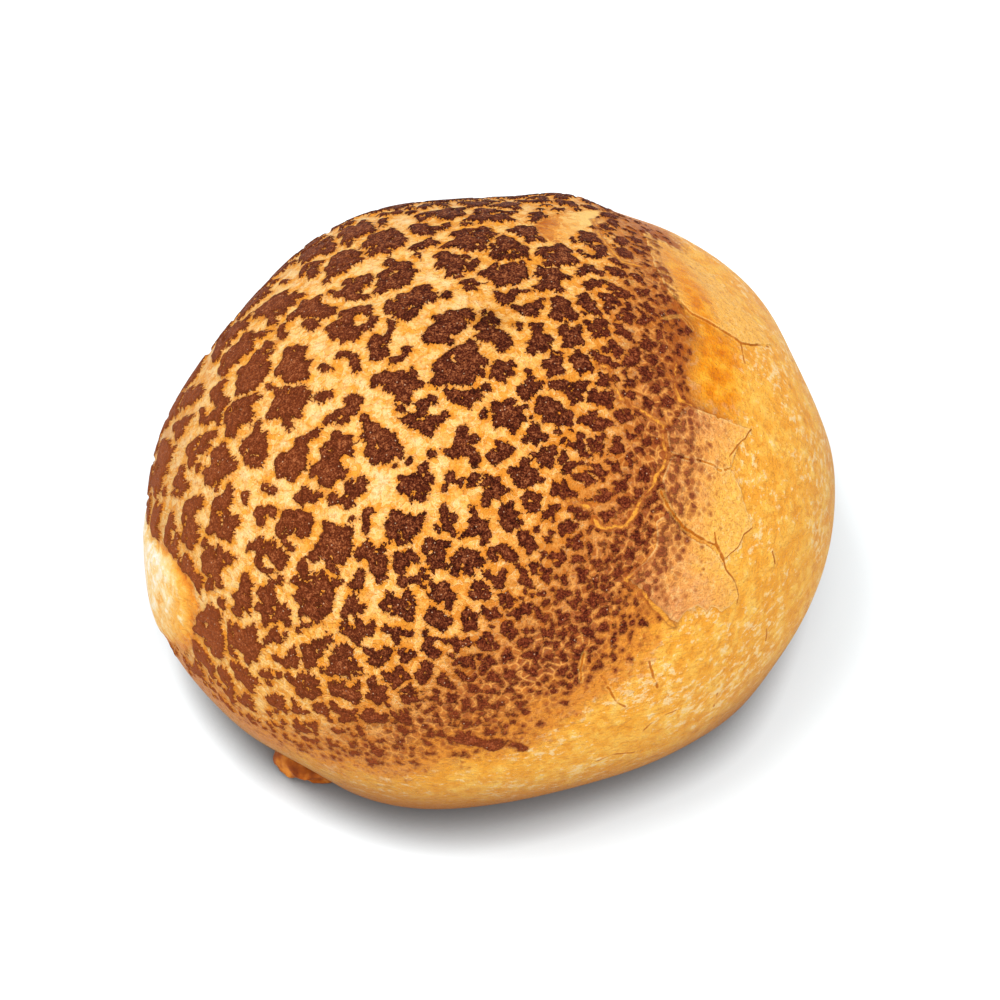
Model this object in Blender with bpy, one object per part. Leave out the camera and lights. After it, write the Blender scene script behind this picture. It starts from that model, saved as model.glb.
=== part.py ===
"""Tiger bread roll: a round roll brushed with rice paste, which the oven cracked into dark plates.

One solid of risen dough on a flat base. Its relief is the crust's own: the plates of paste stand
proud of the dough that shows between them, biggest on the crown and finest near the paste's edge.
Metres, +Z up, +X to the roll's bare side, the origin under the middle of the roll on the board.
"""

import math
import random

import bmesh
import bpy
import numpy as np
from mathutils import Matrix, Vector, kdtree, noise

# Driving dimensions of the risen dough
LENGTH = 0.1154  # widest girth, along its long axis
WIDTH = 0.1068  # widest girth, across its long axis
CROWN = 0.0442  # from the widest girth up to the top
BELLY = 0.0260  # from the board up to the widest girth
LONG_AXIS = math.radians(30.6)  # the long axis, turned from +X towards +Y

# Where the oven and the tray left the dough fuller or flatter than an ovoid.
# name: (bearing from +X, lift above the girth, spread), degrees, and height in metres
SWELLS = {
    "left_shoulder": (119, 36, 11, 0.0010),
    "crown_flat": (92, 42, 8, -0.0009),
    "crown_peak": (77, 39, 5, 0.0009),
    "crown_notch": (64, 37, 4, -0.0008),
    "back_right_flat": (20, 16, 9, -0.0016),
    "back_left_flat": (155, 19, 12, -0.0015),
    "torn_side": (-160, -13, 9, 0.0009),
    "front_left_foot": (-124, -21, 4.5, -0.0011),
    "front_flat": (-72, -37, 15, -0.0014),
    "front_waist": (-70, -28, 11, -0.0012),
    "right_foot": (-39, -23, 7, 0.0013),
    "right_waist": (-17, -24, 12, -0.0016),
    "right_cheek": (-22, -17, 18, 0.0003),
    "right_flank": (13, 12, 6, -0.0007),
    "right_shoulder": (41, 45, 9, -0.0013),
}
UNEVEN = 0.0007  # height of the slow unevenness all over
UNEVEN_SPAN = 0.022  # distance over which it changes

# The tongue of dough that ran out under the crust at the front left
TONGUE_BEARING = math.radians(-131)
TONGUE_SIZE = (0.0179, 0.0160, 0.0098)  # out from the roll, along its foot, and high
TONGUE_REACH = 0.0422  # from the roll's middle to the tongue's middle
TONGUE_LUMPS = 0.16  # how uneven the tongue is, as a share of its size

# The paste reaches lowest opposite the bare side: lift of its edge = mean + swing + second swing
BARE_BEARING = math.radians(6)
PASTE_EDGE_MEAN, PASTE_EDGE_SWING, PASTE_EDGE_SECOND = 14.0, 33.0, 5.0

# The paste tears into islands, and each island is a cluster of small scales that tear off whole.
# Pairs are metres where the paste is fine, near its edge, and where it is coarse.
COARSE_WAY = (168, 32)  # bearing and lift of the side where the dough rose most and tore it coarsest
ISLAND_SPACING = (0.00125, 0.0067)
SCALE_SPACING = (0.00062, 0.0014)
ISLAND_GAP_HALF = (0.00014, 0.00066)
SCALE_GAP_HALF = (0.00017, 0.00036)  # between scales of two islands
FISSURE_HALF = (0.00003, 0.00016)  # between scales of one island, where one opened
HEALED_SHARE = 0.88  # share of those that never opened
FIELD_SPACING = 0.0150  # the wide streets part fields of islands of about this size
STREET_HALF = 0.0009
LOST_SHARE = 0.02  # share of scales that broke off inside the islands
ROUNDING = (0.00010, 0.00016)  # of the islands' corners
RAGGED = ((0.0040, 0.0010), (0.0012, 0.00032))  # span and size of the tears' waviness
PLATE_RISE = 0.0009
PLATE_EDGE = 0.0006  # over which a plate's edge rises

RISE_FACES = 7  # ico sphere subdivisions before the plates are worked out
SOLID_SHARE = 0.142  # share of those faces that the solid keeps
SEED = 11


def from_bearing(bearing, lift):
    """Unit vector of a bearing and a lift in degrees."""
    b, l = math.radians(bearing), math.radians(lift)
    return np.array([math.cos(l) * math.cos(b), math.cos(l) * math.sin(b), math.sin(l)])


def noise_at(points, span):
    """Smooth noise, about -1 to 1, for each point."""
    return np.array([noise.noise(Vector(p)) for p in points / span])


def noise_vectors_at(points, span):
    """Smooth noise vectors, about -1 to 1 along each axis, for each point."""
    return np.array([noise.noise_vector(Vector(p)) for p in points / span])


def risen_dough(ways):
    """Points of the risen dough for unit directions, the board at Z = 0."""
    turn = np.array(Matrix.Rotation(LONG_AXIS, 3, "Z"))
    girth = turn @ np.diag([LENGTH / 2, WIDTH / 2, CROWN]) @ turn.T
    points = ways @ girth.T
    for bearing, lift, spread, height in SWELLS.values():
        off = np.degrees(np.arccos(np.clip(ways @ from_bearing(bearing, lift), -1, 1)))
        points += ways * (height * np.exp(-0.5 * (off / spread) ** 2))[:, None]
    points += ways * (UNEVEN * noise_at(points, UNEVEN_SPAN))[:, None]
    return points + np.array([0, 0, BELLY])


def depth_in_paste(ways):
    """How many degrees each direction lies inside the paste's edge."""
    bearing = np.arctan2(ways[:, 1], ways[:, 0]) - BARE_BEARING
    edge = (
        PASTE_EDGE_MEAN
        + PASTE_EDGE_SWING * np.cos(bearing)
        + PASTE_EDGE_SECOND * np.cos(2 * bearing)
    )
    return np.degrees(np.arcsin(np.clip(ways[:, 2], -1, 1))) - edge


def coarseness(ways):
    """0 where the paste is fine to 1 where it is coarse."""
    side = np.clip(ways @ from_bearing(*COARSE_WAY) + 0.16, 0, 1)
    side = side * side * (3 - 2 * side)
    return np.clip(depth_in_paste(ways) / 33, 0, 1) ** 0.4 * (0.05 + 0.95 * side)


def grade(pair, coarse):
    """A size between its fine and its coarse value."""
    return pair[0] + (pair[1] - pair[0]) * coarse


def sow_cells(rng, spacing_at, tries):
    """Middles of cells and their directions, no two nearer than the spacing there."""
    ways = np.array([[rng.gauss(0, 1) for _ in range(3)] for _ in range(tries)])
    ways /= np.linalg.norm(ways, axis=1)[:, None]
    points = risen_dough(ways)
    spacings = spacing_at(ways)
    boxes = np.floor(points / spacings.max()).astype(int)
    steps = [(x, y, z) for x in (-1, 0, 1) for y in (-1, 0, 1) for z in (-1, 0, 1)]
    boxed = {}
    kept = []
    for index in np.flatnonzero(spacings > 0):
        x, y, z = boxes[index]
        near = [k for dx, dy, dz in steps for k in boxed.get((x + dx, y + dy, z + dz), ())]
        away = np.sum((points[near] - points[index]) ** 2, axis=1) if near else np.ones(1)
        if away.min() >= spacings[index] ** 2:
            boxed.setdefault((x, y, z), []).append(index)
            kept.append(index)
    return points[kept], ways[kept]


def cell_edges(points, middles, neighbours):
    """The cells nearest to each point, its own first, and how far its edges with the others are."""
    tree = kdtree.KDTree(len(middles))
    for index, middle in enumerate(middles):
        tree.insert(Vector(middle), index)
    tree.balance()
    near = np.array([[hit[1] for hit in tree.find_n(Vector(p), neighbours)] for p in points])
    own = middles[near[:, 0]]
    to_edge = np.empty((len(points), neighbours - 1))
    for column in range(1, neighbours):
        other = middles[near[:, column]]
        further = np.sum((points - other) ** 2, axis=1) - np.sum((points - own) ** 2, axis=1)
        to_edge[:, column - 1] = further / (2 * np.linalg.norm(other - own, axis=1))
    return near[:, :1], near[:, 1:], to_edge


def pair_chance(a, b):
    """A fixed number from 0 to 1 for each pair of cells."""
    low, high = np.minimum(a, b), np.maximum(a, b)
    return np.modf(np.abs(np.sin(low * 12.9898 + high * 78.233)) * 43758.5453)[0]


def sow_paste(rng):
    """Middles of the scales, which of them the oven left on the dough, and each one's island."""
    def in_paste(ways, least, spacings):
        return np.where(depth_in_paste(ways) > least, grade(spacings, coarseness(ways)), 0)

    islands, _ = sow_cells(rng, lambda ways: in_paste(ways, -12, ISLAND_SPACING), 30000)
    fields, _ = sow_cells(rng, lambda ways: np.full(len(ways), FIELD_SPACING), 900)
    scales, scale_ways = sow_cells(rng, lambda ways: in_paste(ways, -2, SCALE_SPACING), 140000)
    coarse = coarseness(scale_ways)[:, None]

    island, others, to_edge = cell_edges(scales, islands, 6)
    gap = grade(ISLAND_GAP_HALF, coarse) * (0.35 + 1.3 * pair_chance(island, others))
    lost = (to_edge < gap).any(axis=1)
    own_field, others, to_edge = cell_edges(scales, fields, 4)
    street = STREET_HALF * coarse * (0.5 + pair_chance(own_field, others))
    lost |= (to_edge < street).any(axis=1)
    index = np.arange(len(scales))
    thin_paste = np.clip((16 - depth_in_paste(scale_ways)) / 14, 0, 1)
    lost |= pair_chance(index, index + 7) < np.maximum(thin_paste, LOST_SHARE)
    return scales, ~lost, island[:, 0]


def plate_distance(ways, points):
    """Signed distance to the edge of the paste's plates, above 0 on a plate."""
    scales, kept, island = sow_paste(random.Random(SEED))
    coarse = coarseness(ways)[:, None]
    wavy = points.copy()
    for span, size in RAGGED:
        wavy += size * (0.25 + 0.75 * coarse) * noise_vectors_at(points, span)
    own, others, to_edge = cell_edges(wavy, scales, 8)
    chance = pair_chance(own, others)
    fissure = np.where(chance < HEALED_SHARE, -1.0, grade(FISSURE_HALF, coarse))
    half = np.where(island[own] == island[others], fissure, grade(SCALE_GAP_HALF, coarse))
    gaps = to_edge - np.where(kept[others], half, 0.00006)
    nearest = gaps.min(axis=1)[:, None]
    soft = grade(ROUNDING, coarse)
    crowded = np.sum(np.exp((nearest - gaps) / soft), axis=1)
    on_plate = nearest[:, 0] - soft[:, 0] * np.log(crowded)
    off_plate = -np.min(np.where(kept[others], to_edge + 0.00006, 0.003), axis=1)
    return np.where(kept[own[:, 0]], on_plate, off_plate)


def add_crumb():
    """The risen dough with its plates, as a closed mesh of about equal triangles."""
    bpy.ops.mesh.primitive_ico_sphere_add(subdivisions=RISE_FACES, radius=1)
    roll = bpy.context.object
    roll.name = roll.data.name = "roll"
    count = len(roll.data.vertices)
    flat = np.empty(count * 3)
    roll.data.vertices.foreach_get("co", flat)
    ways = flat.reshape(-1, 3)
    ways /= np.linalg.norm(ways, axis=1)[:, None]
    points = risen_dough(ways)
    side = plate_distance(ways, points)
    rise = PLATE_RISE * coarseness(ways) ** 0.5
    points += ways * (rise * np.clip(side / PLATE_EDGE + 0.5, 0, 1))[:, None]
    roll.data.vertices.foreach_set("co", points.ravel())
    roll.data.update()
    return roll


def apply_modifier(obj, name):
    bpy.context.view_layer.objects.active = obj
    bpy.ops.object.modifier_apply(modifier=name)


def thin_faces(roll):
    """Keeps the triangles where the relief needs them."""
    thin = roll.modifiers.new("thin", "DECIMATE")
    thin.ratio = SOLID_SHARE
    apply_modifier(roll, "thin")


def add_tongue():
    """The tongue of dough at the foot: a low lumpy ball, half under the roll."""
    bpy.ops.mesh.primitive_uv_sphere_add(segments=24, ring_count=14, radius=0.5)
    tongue = bpy.context.object
    tongue.name = "tongue"
    for vertex in tongue.data.vertices:
        vertex.co *= 1 + TONGUE_LUMPS * noise.noise(vertex.co * 5)
    out, along, high = TONGUE_SIZE
    tongue.data.transform(Matrix.Diagonal((out, along, high, 1)))
    middle = Vector((TONGUE_REACH, 0, high * 0.33))
    turn = Matrix.Rotation(TONGUE_BEARING, 4, "Z")
    tongue.data.transform(turn @ Matrix.Translation(middle))
    return tongue


def fuse(roll, tongue):
    """Joins the tongue to the roll as one solid."""
    join = roll.modifiers.new("join", "BOOLEAN")
    join.operation = "UNION"
    join.solver = "EXACT"
    join.object = tongue
    apply_modifier(roll, "join")
    bpy.data.objects.remove(tongue)


def press_on_board(roll):
    """Cuts the underside flat where the roll stood on its board, and closes it with one face."""
    shape = bmesh.new()
    shape.from_mesh(roll.data)
    everything = shape.verts[:] + shape.edges[:] + shape.faces[:]
    bmesh.ops.bisect_plane(
        shape, geom=everything, plane_co=(0, 0, 0), plane_no=(0, 0, 1), clear_inner=True
    )
    rim = [edge for edge in shape.edges if edge.is_boundary]
    bmesh.ops.holes_fill(shape, edges=rim, sides=0)
    bmesh.ops.remove_doubles(shape, verts=shape.verts[:], dist=0.00002)
    bmesh.ops.recalc_face_normals(shape, faces=shape.faces[:])
    shape.to_mesh(roll.data)
    shape.free()


def centre_on_origin(roll):
    """Puts the origin on the board under the middle of the roll's box."""
    corners = [Vector(corner) for corner in roll.bound_box]
    middle = sum(corners, Vector()) / len(corners)
    roll.data.transform(Matrix.Translation((-middle.x, -middle.y, 0)))


def crust_material():
    """Baked crust: matt, brown gold."""
    crust = bpy.data.materials.new("baked_crust")
    crust.use_nodes = True
    shader = crust.node_tree.nodes["Principled BSDF"]
    shader.inputs["Base Color"].default_value = (0.55, 0.24, 0.07, 1)
    shader.inputs["Roughness"].default_value = 0.6
    shader.inputs["Metallic"].default_value = 0.0
    return crust


def main():
    for obj in list(bpy.data.objects):
        bpy.data.objects.remove(obj)
    noise.seed_set(SEED)
    roll = add_crumb()
    thin_faces(roll)
    fuse(roll, add_tongue())
    press_on_board(roll)
    centre_on_origin(roll)
    roll.data.materials.append(crust_material())
    roll.data.shade_smooth()
    roll.data.set_sharp_from_angle(angle=math.radians(40))


main()
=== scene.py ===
"""A tiger bread roll: a round crusty roll whose rice paste cracked into dark plates in the oven."""

import math
import random

import bpy
import numpy as np
from mathutils import Matrix, Vector, kdtree, noise


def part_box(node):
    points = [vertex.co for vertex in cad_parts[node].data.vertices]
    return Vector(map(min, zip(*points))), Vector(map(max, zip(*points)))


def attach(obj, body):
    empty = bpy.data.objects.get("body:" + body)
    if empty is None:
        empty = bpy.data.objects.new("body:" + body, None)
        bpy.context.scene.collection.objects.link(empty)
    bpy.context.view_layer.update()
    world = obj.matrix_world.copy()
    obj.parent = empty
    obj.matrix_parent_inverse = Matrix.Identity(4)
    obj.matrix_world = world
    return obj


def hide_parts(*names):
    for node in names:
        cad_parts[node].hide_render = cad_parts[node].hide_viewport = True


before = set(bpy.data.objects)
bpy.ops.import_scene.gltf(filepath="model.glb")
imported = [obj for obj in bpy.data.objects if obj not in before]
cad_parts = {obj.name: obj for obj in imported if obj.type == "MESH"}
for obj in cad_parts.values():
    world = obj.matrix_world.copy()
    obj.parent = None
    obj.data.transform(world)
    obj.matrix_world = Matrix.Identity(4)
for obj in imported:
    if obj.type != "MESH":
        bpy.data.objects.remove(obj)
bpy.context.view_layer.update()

# ---- The risen dough ----------------------------------------------------------------------------
# A round of wheat dough, proved and baked on a flat tray. It is an ovoid a little fuller and flatter
# here and there, pressed flat underneath, and its outside is one closed skin of crust.

LENGTH = 0.1154  # widest girth, along its long axis
WIDTH = 0.1068  # widest girth, across its long axis
CROWN = 0.0442  # from the widest girth up to the top
BELLY = 0.0260  # from the board up to the widest girth
LONG_AXIS = math.radians(30.6)
SWELLS = {  # bearing from +X, lift above the girth and spread in degrees, and height in metres
    "left_shoulder": (119, 36, 11, 0.0010),
    "crown_flat": (92, 42, 8, -0.0009),
    "crown_peak": (77, 39, 5, 0.0009),
    "crown_notch": (64, 37, 4, -0.0008),
    "back_right_flat": (20, 16, 9, -0.0016),
    "back_left_flat": (155, 19, 12, -0.0015),
    "torn_side": (-160, -13, 9, 0.0009),
    "front_left_foot": (-124, -21, 4.5, -0.0011),
    "front_flat": (-72, -37, 15, -0.0014),
    "front_waist": (-70, -28, 11, -0.0012),
    "right_foot": (-39, -23, 7, 0.0013),
    "right_waist": (-17, -24, 12, -0.0016),
    "right_cheek": (-22, -17, 18, 0.0003),
    "right_flank": (13, 12, 6, -0.0007),
    "right_shoulder": (41, 45, 9, -0.0013),
}
UNEVEN = 0.0007
UNEVEN_SPAN = 0.022
DOUGH_RADIUS = 50.0  # mm, a middling distance from the dough's middle to its skin


def from_bearing(bearing, lift):
    """Unit vector of a bearing and a lift in degrees."""
    b, l = math.radians(bearing), math.radians(lift)
    return np.array([math.cos(l) * math.cos(b), math.cos(l) * math.sin(b), math.sin(l)])


def noise_at(points, span):
    """Smooth noise, about -1 to 1, for each point."""
    return np.array([noise.noise(Vector(p)) for p in points / span])


def noise_vectors_at(points, span):
    """Smooth noise vectors, about -1 to 1 along each axis, for each point."""
    return np.array([noise.noise_vector(Vector(p)) for p in points / span])


def risen_dough(ways):
    """Points of the dough's skin for unit directions, the board at Z = 0."""
    turn = np.array(Matrix.Rotation(LONG_AXIS, 3, "Z"))
    girth = turn @ np.diag([LENGTH / 2, WIDTH / 2, CROWN]) @ turn.T
    points = ways @ girth.T
    for bearing, lift, spread, height in SWELLS.values():
        off = np.degrees(np.arccos(np.clip(ways @ from_bearing(bearing, lift), -1, 1)))
        points += ways * (height * np.exp(-0.5 * (off / spread) ** 2))[:, None]
    points += ways * (UNEVEN * noise_at(points, UNEVEN_SPAN))[:, None]
    return points + np.array([0, 0, BELLY])


def points_of(piece):
    """A piece's vertices, one to a row."""
    flat = np.empty(len(piece.data.vertices) * 3)
    piece.data.vertices.foreach_get("co", flat)
    return flat.reshape(-1, 3)


def ways_of(piece):
    """Unit directions of a ball's vertices from its middle."""
    points = points_of(piece)
    return points / np.linalg.norm(points, axis=1)[:, None]


def split_faces(piece, chosen):
    """Cuts each chosen face of a ball of triangles into four."""
    bpy.context.view_layer.objects.active = piece
    face_verts = np.empty(len(piece.data.polygons) * 3, dtype=np.int64)
    piece.data.polygons.foreach_get("vertices", face_verts)
    face_chosen = chosen[face_verts].reshape(-1, 3).any(axis=1)
    bpy.ops.object.mode_set(mode="EDIT")
    bpy.ops.mesh.select_mode(type="FACE")
    bpy.ops.mesh.select_all(action="DESELECT")
    bpy.ops.object.mode_set(mode="OBJECT")
    piece.data.polygons.foreach_set("select", face_chosen)
    bpy.ops.object.mode_set(mode="EDIT")
    bpy.ops.mesh.subdivide(number_cuts=1, quadcorner="INNERVERT")
    bpy.ops.mesh.select_all(action="SELECT")
    bpy.ops.mesh.quads_convert_to_tris()
    bpy.ops.object.mode_set(mode="OBJECT")


bpy.ops.object.select_all(action="DESELECT")
bpy.ops.mesh.primitive_ico_sphere_add(subdivisions=6, radius=1)
crust = bpy.context.object
crust.name = crust.data.name = "crust"

# ---- The rice paste -----------------------------------------------------------------------------
# Rice flour paste brushed over the top before baking. It dries before the dough has finished rising,
# so it tears into plates, coarse on the crown and fine towards the edge of the brushed patch.

BARE_BEARING = math.radians(6)
PASTE_EDGE_MEAN, PASTE_EDGE_SWING, PASTE_EDGE_SECOND = 14.0, 33.0, 5.0
COARSE_WAY = (168, 32)  # bearing and lift of the side where the dough rose most and tore it coarsest
ISLAND_SPACING = (0.00125, 0.0067)
SCALE_SPACING = (0.00062, 0.0014)
ISLAND_GAP_HALF = (0.00014, 0.00066)
SCALE_GAP_HALF = (0.00017, 0.00036)  # between scales of two islands
FISSURE_HALF = (0.00003, 0.00016)  # between scales of one island, where one opened
HEALED_SHARE = 0.88  # share of those that never opened
FIELD_SPACING = 0.0150  # the wide streets part fields of islands of about this size
STREET_HALF = 0.0009
LOST_SHARE = 0.02  # share of scales that broke off inside the islands
TORN_BACK = 0.00006  # how far a scale beside a lost one is torn back from its edge
FAR_OFF = 0.003
ROUNDING = (0.00010, 0.00016)  # of the islands' corners
RAGGED = ((0.0040, 0.0010), (0.0012, 0.00032))  # span and size of the tears' waviness
ISLAND_TRIES, FIELD_TRIES, SCALE_TRIES = 30000, 900, 140000
PASTE_SEED = 11
noise.seed_set(PASTE_SEED)


def depth_in_paste(ways):
    """How many degrees each direction lies inside the paste's edge."""
    bearing = np.arctan2(ways[:, 1], ways[:, 0]) - BARE_BEARING
    edge = (
        PASTE_EDGE_MEAN
        + PASTE_EDGE_SWING * np.cos(bearing)
        + PASTE_EDGE_SECOND * np.cos(2 * bearing)
    )
    return np.degrees(np.arcsin(np.clip(ways[:, 2], -1, 1))) - edge


def coarseness(ways):
    """0 where the paste is fine to 1 where it is coarse."""
    side = np.clip(ways @ from_bearing(*COARSE_WAY) + 0.16, 0, 1)
    side = side * side * (3 - 2 * side)
    return np.clip(depth_in_paste(ways) / 33, 0, 1) ** 0.4 * (0.05 + 0.95 * side)


def grade(pair, coarse):
    """A size between its fine and its coarse value."""
    return pair[0] + (pair[1] - pair[0]) * coarse


def sow_cells(rng, spacing_at, tries):
    """Middles of cells and their directions, no two nearer than the spacing there."""
    ways = np.array([[rng.gauss(0, 1) for _ in range(3)] for _ in range(tries)])
    ways /= np.linalg.norm(ways, axis=1)[:, None]
    points = risen_dough(ways)
    spacings = spacing_at(ways)
    boxes = np.floor(points / spacings.max()).astype(int)
    steps = [(x, y, z) for x in (-1, 0, 1) for y in (-1, 0, 1) for z in (-1, 0, 1)]
    boxed = {}
    kept = []
    for index in np.flatnonzero(spacings > 0):
        x, y, z = boxes[index]
        near = [k for dx, dy, dz in steps for k in boxed.get((x + dx, y + dy, z + dz), ())]
        away = np.sum((points[near] - points[index]) ** 2, axis=1) if near else np.ones(1)
        if away.min() >= spacings[index] ** 2:
            boxed.setdefault((x, y, z), []).append(index)
            kept.append(index)
    return points[kept], ways[kept]


def cell_edges(points, middles, neighbours):
    """The cells nearest to each point, its own first, and how far its edges with the others are."""
    tree = kdtree.KDTree(len(middles))
    for index, middle in enumerate(middles):
        tree.insert(Vector(middle), index)
    tree.balance()
    near = np.array([[hit[1] for hit in tree.find_n(Vector(p), neighbours)] for p in points])
    own = middles[near[:, 0]]
    to_edge = np.empty((len(points), neighbours - 1))
    for column in range(1, neighbours):
        other = middles[near[:, column]]
        further = np.sum((points - other) ** 2, axis=1) - np.sum((points - own) ** 2, axis=1)
        to_edge[:, column - 1] = further / (2 * np.linalg.norm(other - own, axis=1))
    return near[:, :1], near[:, 1:], to_edge


def pair_chance(a, b):
    """A fixed number from 0 to 1 for each pair of cells."""
    low, high = np.minimum(a, b), np.maximum(a, b)
    return np.modf(np.abs(np.sin(low * 12.9898 + high * 78.233)) * 43758.5453)[0]


def sow_paste(rng):
    """Middles of the scales, which of them the oven left on the dough, and each one's island."""

    def in_paste(ways, least, spacings):
        """The spacings there, or 0 further out than some degrees from the paste's edge."""
        return np.where(depth_in_paste(ways) > least, grade(spacings, coarseness(ways)), 0)

    islands, _ = sow_cells(rng, lambda ways: in_paste(ways, -12, ISLAND_SPACING), ISLAND_TRIES)
    fields, _ = sow_cells(rng, lambda ways: np.full(len(ways), FIELD_SPACING), FIELD_TRIES)
    scales, scale_ways = sow_cells(rng, lambda ways: in_paste(ways, -2, SCALE_SPACING), SCALE_TRIES)
    coarse = coarseness(scale_ways)[:, None]

    island, others, to_edge = cell_edges(scales, islands, 6)
    gap = grade(ISLAND_GAP_HALF, coarse) * (0.35 + 1.3 * pair_chance(island, others))
    lost = (to_edge < gap).any(axis=1)
    own_field, others, to_edge = cell_edges(scales, fields, 4)
    street = STREET_HALF * coarse * (0.5 + pair_chance(own_field, others))
    lost |= (to_edge < street).any(axis=1)
    index = np.arange(len(scales))
    thin_paste = np.clip((16 - depth_in_paste(scale_ways)) / 14, 0, 1)
    lost |= pair_chance(index, index + 7) < np.maximum(thin_paste, LOST_SHARE)
    return scales, ~lost, island[:, 0]


def paste_fields(ways, points):
    """Signed distance to the plates' edges, distance to the scales' edges, and a chance per scale."""
    scales, kept, island = sow_paste(random.Random(PASTE_SEED))
    coarse = coarseness(ways)[:, None]
    wavy = points.copy()
    for span, size in RAGGED:
        wavy += size * (0.25 + 0.75 * coarse) * noise_vectors_at(points, span)
    own, others, to_edge = cell_edges(wavy, scales, 8)
    chance = pair_chance(own, others)
    fissure = np.where(chance < HEALED_SHARE, -1.0, grade(FISSURE_HALF, coarse))
    half = np.where(island[own] == island[others], fissure, grade(SCALE_GAP_HALF, coarse))
    gaps = to_edge - np.where(kept[others], half, TORN_BACK)
    nearest = gaps.min(axis=1)[:, None]
    soft = grade(ROUNDING, coarse)
    crowded = np.sum(np.exp((nearest - gaps) / soft), axis=1)
    on_plate = nearest[:, 0] - soft[:, 0] * np.log(crowded)
    off_plate = -np.min(np.where(kept[others], to_edge + TORN_BACK, FAR_OFF), axis=1)
    side = np.where(kept[own[:, 0]], on_plate, off_plate)
    return side, to_edge.min(axis=1), pair_chance(island[own[:, 0]], own[:, 0])


# ---- Cracks, rope and films of the thin crust ---------------------------------------------------
# Where the paste was thin the crust split in long lines as the roll cooled, one seam swelled into a
# golden rope of dough, and skins of dried paste film end in low steps on the bare side.
# Each line is bearings and lifts in degrees.

ROPES = (
    ((-25.5, 70.9), (-25.0, 68.6), (-31.0, 67.9), (-34.7, 64.6), (-32.2, 61.2), (-32.0, 56.5),
     (-36.6, 55.0), (-38.3, 52.8), (-45.2, 51.1), (-51.5, 49.2), (-57.1, 46.9), (-61.1, 48.1),
     (-63.2, 49.0), (-63.4, 52.3), (-67.7, 54.5)),
    ((-55.6, 39.7), (-59.3, 38.9), (-61.5, 38.4), (-59.7, 35.1), (-58.7, 32.6), (-57.2, 29.4),
     (-55.3, 25.6)),
    ((63.4, 52.6), (54.7, 59.7), (45.8, 62.2), (38.5, 63.4), (34.5, 60.4)),
    ((-8.1, 60.2), (-17.8, 58.5), (-21.7, 56.6), (-20.5, 54.4)),
)
FISSURES = (
    ((20.6, 59.0), (12.7, 55.9), (9.6, 50.1), (7.5, 45.8), (4.4, 45.7), (1.1, 45.0)),
    ((8.2, 62.0), (10.9, 58.5), (6.3, 56.7)),
    ((7.5, 45.8), (9.3, 42.0), (11.1, 37.6)),
    ((-15.5, 41.6), (-21.6, 43.2), (-25.5, 43.8), (-27.4, 42.2)),
    ((-45.6, 48.9), (-46.5, 45.8), (-45.8, 41.6), (-43.1, 35.9), (-41.9, 34.4), (-41.6, 31.1)),
    ((-40.3, 36.4), (-41.7, 34.7), (-41.4, 31.4), (-42.0, 29.1), (-41.8, 25.3), (-42.0, 22.3),
     (-42.7, 21.1)),
    ((-40.8, 31.0), (-37.7, 30.8), (-34.9, 31.6), (-32.4, 30.9)),
    ((-61.2, 21.2), (-61.2, 17.7), (-61.0, 14.6)),
    ((-69.2, 18.9), (-68.0, 15.4), (-66.6, 12.9)),
    ((-71.9, 27.3), (-73.1, 24.5), (-73.3, 22.1)),
    ((-72.2, -1.9), (-68.8, -1.0), (-64.9, -3.1)),
    ((-65.1, 1.9), (-62.9, 5.0), (-61.3, 6.2), (-58.0, 5.9)),
    ((-37.8, 8.6), (-38.3, 5.5)),
    ((-50.4, -1.1), (-49.8, 3.0)),
    ((-31.0, 23.7), (-31.6, 20.9)),
)
FILMS = (
    ((-21.1, 54.9), (-18.8, 49.7), (-17.3, 44.8), (-15.5, 41.6), (-21.6, 43.2), (-27.4, 42.2),
     (-29.9, 43.4), (-30.9, 46.0), (-33.5, 49.1), (-37.4, 52.6), (-33.2, 55.5)),
    ((-43.7, 50.3), (-38.0, 52.2), (-33.9, 48.9), (-31.3, 45.8), (-30.2, 43.2), (-27.8, 42.0),
     (-28.7, 39.4), (-30.4, 36.2), (-32.0, 32.6), (-32.4, 30.9), (-34.9, 31.6), (-37.7, 30.8),
     (-40.8, 31.0), (-41.6, 31.1), (-41.9, 34.4), (-43.1, 35.9), (-45.8, 41.6), (-46.5, 45.8)),
    ((-47.2, 45.1), (-46.4, 40.8), (-43.6, 35.1), (-42.2, 30.9), (-42.0, 29.1), (-41.8, 25.3),
     (-42.0, 22.3), (-46.0, 22.0), (-47.9, 24.7), (-49.3, 24.6), (-50.1, 27.0), (-52.9, 27.1),
     (-54.9, 26.1), (-57.1, 29.8), (-58.5, 33.0), (-59.6, 35.5), (-61.3, 38.8), (-56.9, 39.6),
     (-53.6, 41.1), (-50.6, 44.7)),
    ((53.1, 45.9), (41.0, 41.7), (23.2, 39.9), (12.3, 36.0), (7.5, 45.8), (9.6, 50.1),
     (12.7, 55.9), (20.6, 59.0), (35.2, 57.3)),
)
AMBER = ((47.6, 45.2), (35.0, 46.9), (19.7, 48.9), (9.6, 50.1), (7.5, 45.8), (1.1, 45.0),
         (-9.8, 44.1), (-17.3, 44.8), (-18.8, 49.7), (-19.6, 54.3), (-11.7, 57.8), (5.3, 56.4),
         (21.7, 57.3), (38.3, 54.4))
FLAP = ((77.9, 62.9), (74.6, 57.6), (69.7, 50.7), (65.1, 45.9), (61.2, 56.5), (61.9, 62.9),
        (62.7, 67.4), (71.4, 65.9))
TORN = ((-180, 4), (-168, 9.5), (-160, 16), (-155, 18.5), (-149.5, 19.5), (-146, 16.5),
        (-145, 9.5), (-147, 1), (-156, -9), (-172, -12), (-184, -6))
SMEAR = ((-92.9, 12.0), (-89.8, 10.9), (-86.4, 10.3), (-83.3, 8.6))


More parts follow.
